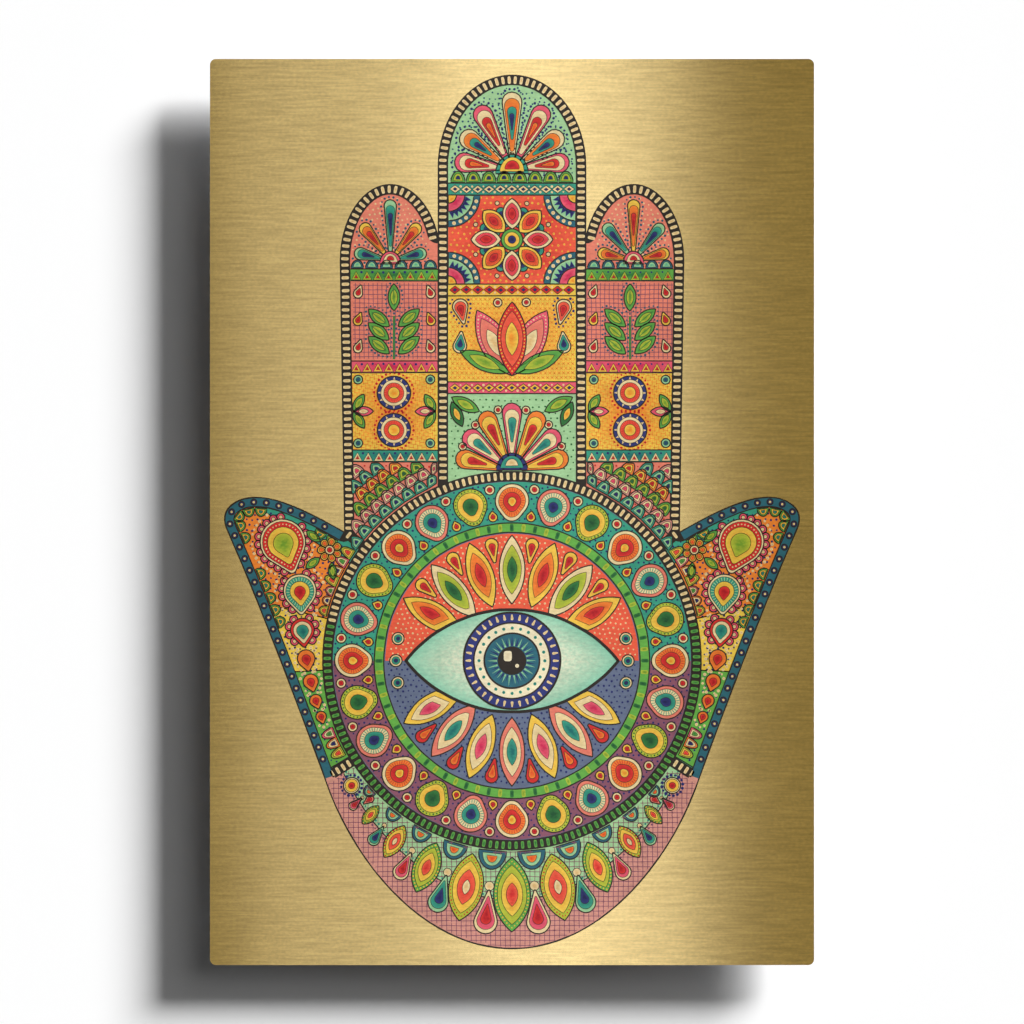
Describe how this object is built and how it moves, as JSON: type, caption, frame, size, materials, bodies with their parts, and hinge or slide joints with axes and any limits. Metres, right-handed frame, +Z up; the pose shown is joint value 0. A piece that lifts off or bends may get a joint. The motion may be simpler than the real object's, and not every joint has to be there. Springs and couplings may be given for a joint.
{
  "type": "printed metal wall panel with a hamsa hand",
  "caption": "Upright gold sheet printed with an ornate open hand and an eye in its palm, floated off the wall on a wooden frame with swinging D-rings.",
  "frame": {"origin": "on the wall plane, straight behind the middle of the sheet", "axes": "+X to the viewer's right, +Z up, +Y into the wall; the printed face looks along -Y"},
  "size_m": [0.4064, 0.0289, 0.6096],
  "materials": {
    "gold_sheet": "brushed, lacquered gold",
    "core_plastic": "cut edge, black polyethylene",
    "mill_sheet": "plain mill finish",
    "pine": "planed, unvarnished",
    "foam_tape": "closed-cell foam tape",
    "zinc_steel": "zinc plated",
    "nickel_wire": "nickel plated wire",
    "bumper_rubber": "soft matt rubber",
    "ink_white": "first white pass of ultraviolet-cured ink",
    "ink_black": "ultraviolet-cured ink",
    "ink_mint": "ultraviolet-cured ink",
    "ink_salmon": "ultraviolet-cured ink",
    "ink_teal": "ultraviolet-cured ink",
    "ink_mauve": "ultraviolet-cured ink",
    "ink_slate": "ultraviolet-cured ink",
    "ink_red": "ultraviolet-cured ink",
    "ink_pink": "ultraviolet-cured ink",
    "ink_orange": "ultraviolet-cured ink",
    "ink_yellow": "ultraviolet-cured ink",
    "ink_green": "ultraviolet-cured ink",
    "ink_navy": "ultraviolet-cured ink",
    "ink_cream": "ultraviolet-cured ink"
  },
  "bodies": {
    "panel": {"back_skin": "mill_sheet", "brace_screws": "zinc_steel", "bumper_bottom_left": "bumper_rubber", "bumper_bottom_right": "bumper_rubber", "bumper_top_left": "bumper_rubber", "bumper_top_right": "bumper_rubber", "core_sheet": "core_plastic", "corner_brace_bottom_left": "zinc_steel", "corner_brace_bottom_right": "zinc_steel", "corner_brace_top_left": "zinc_steel", "corner_brace_top_right": "zinc_steel", "face_skin": "gold_sheet", "foam_tape_bottom": "foam_tape", "foam_tape_left": "foam_tape", "foam_tape_right": "foam_tape", "foam_tape_top": "foam_tape", "frame_rail_bottom": "pine", "frame_rail_left": "pine", "frame_rail_right": "pine", "frame_rail_top": "pine", "hanger_screws": "zinc_steel", "hanger_strap_left": "zinc_steel", "hanger_strap_right": "zinc_steel", "ink_border": "ink_black", "ink_eye_blue_ring": "ink_navy", "ink_eye_iris": "ink_teal", "ink_eye_pale_ring": "ink_white", "ink_eye_pupil": "ink_black", "ink_eye_white": "ink_cream", "ink_left_finger_bands": "ink_green", "ink_left_finger_fan": "ink_yellow", "ink_left_finger_field": "ink_salmon", "ink_left_finger_roundels": "ink_navy", "ink_left_finger_sprig": "ink_green", "ink_left_thumb_drops": "ink_orange", "ink_left_thumb_field": "ink_teal", "ink_middle_finger_bands": "ink_pink", "ink_middle_finger_crown": "ink_orange", "ink_middle_finger_fan": "ink_red", "ink_middle_finger_field": "ink_mint", "ink_middle_finger_flower": "ink_pink", "ink_middle_finger_tulip": "ink_red", "ink_palm_base_field": "ink_mauve", "ink_palm_base_petals": "ink_green", "ink_palm_disc": "ink_slate", "ink_palm_petals": "ink_orange", "ink_palm_rays": "ink_yellow", "ink_palm_stripe_ring": "ink_green", "ink_right_finger_bands": "ink_green", "ink_right_finger_fan": "ink_yellow", "ink_right_finger_field": "ink_salmon", "ink_right_finger_roundels": "ink_navy", "ink_right_finger_sprig": "ink_green", "ink_right_thumb_drops": "ink_orange", "ink_right_thumb_field": "ink_teal", "ink_white_base": "ink_white"},
    "ring_left": {"hanger_ring_left": "nickel_wire"},
    "ring_right": {"hanger_ring_right": "nickel_wire"}
  },
  "joints": [
    {"name": "ring_left_swing", "type": "hinge", "parent": "panel", "child": "ring_left", "pos_m": [-0.1384, -0.0042, 0.159], "axis": [-1, 0, 0], "range_deg": [-3, 175]},
    {"name": "ring_right_swing", "type": "hinge", "parent": "panel", "child": "ring_right", "pos_m": [0.1384, -0.0042, 0.159], "axis": [-1, 0, 0], "range_deg": [-3, 175]}
  ]
}
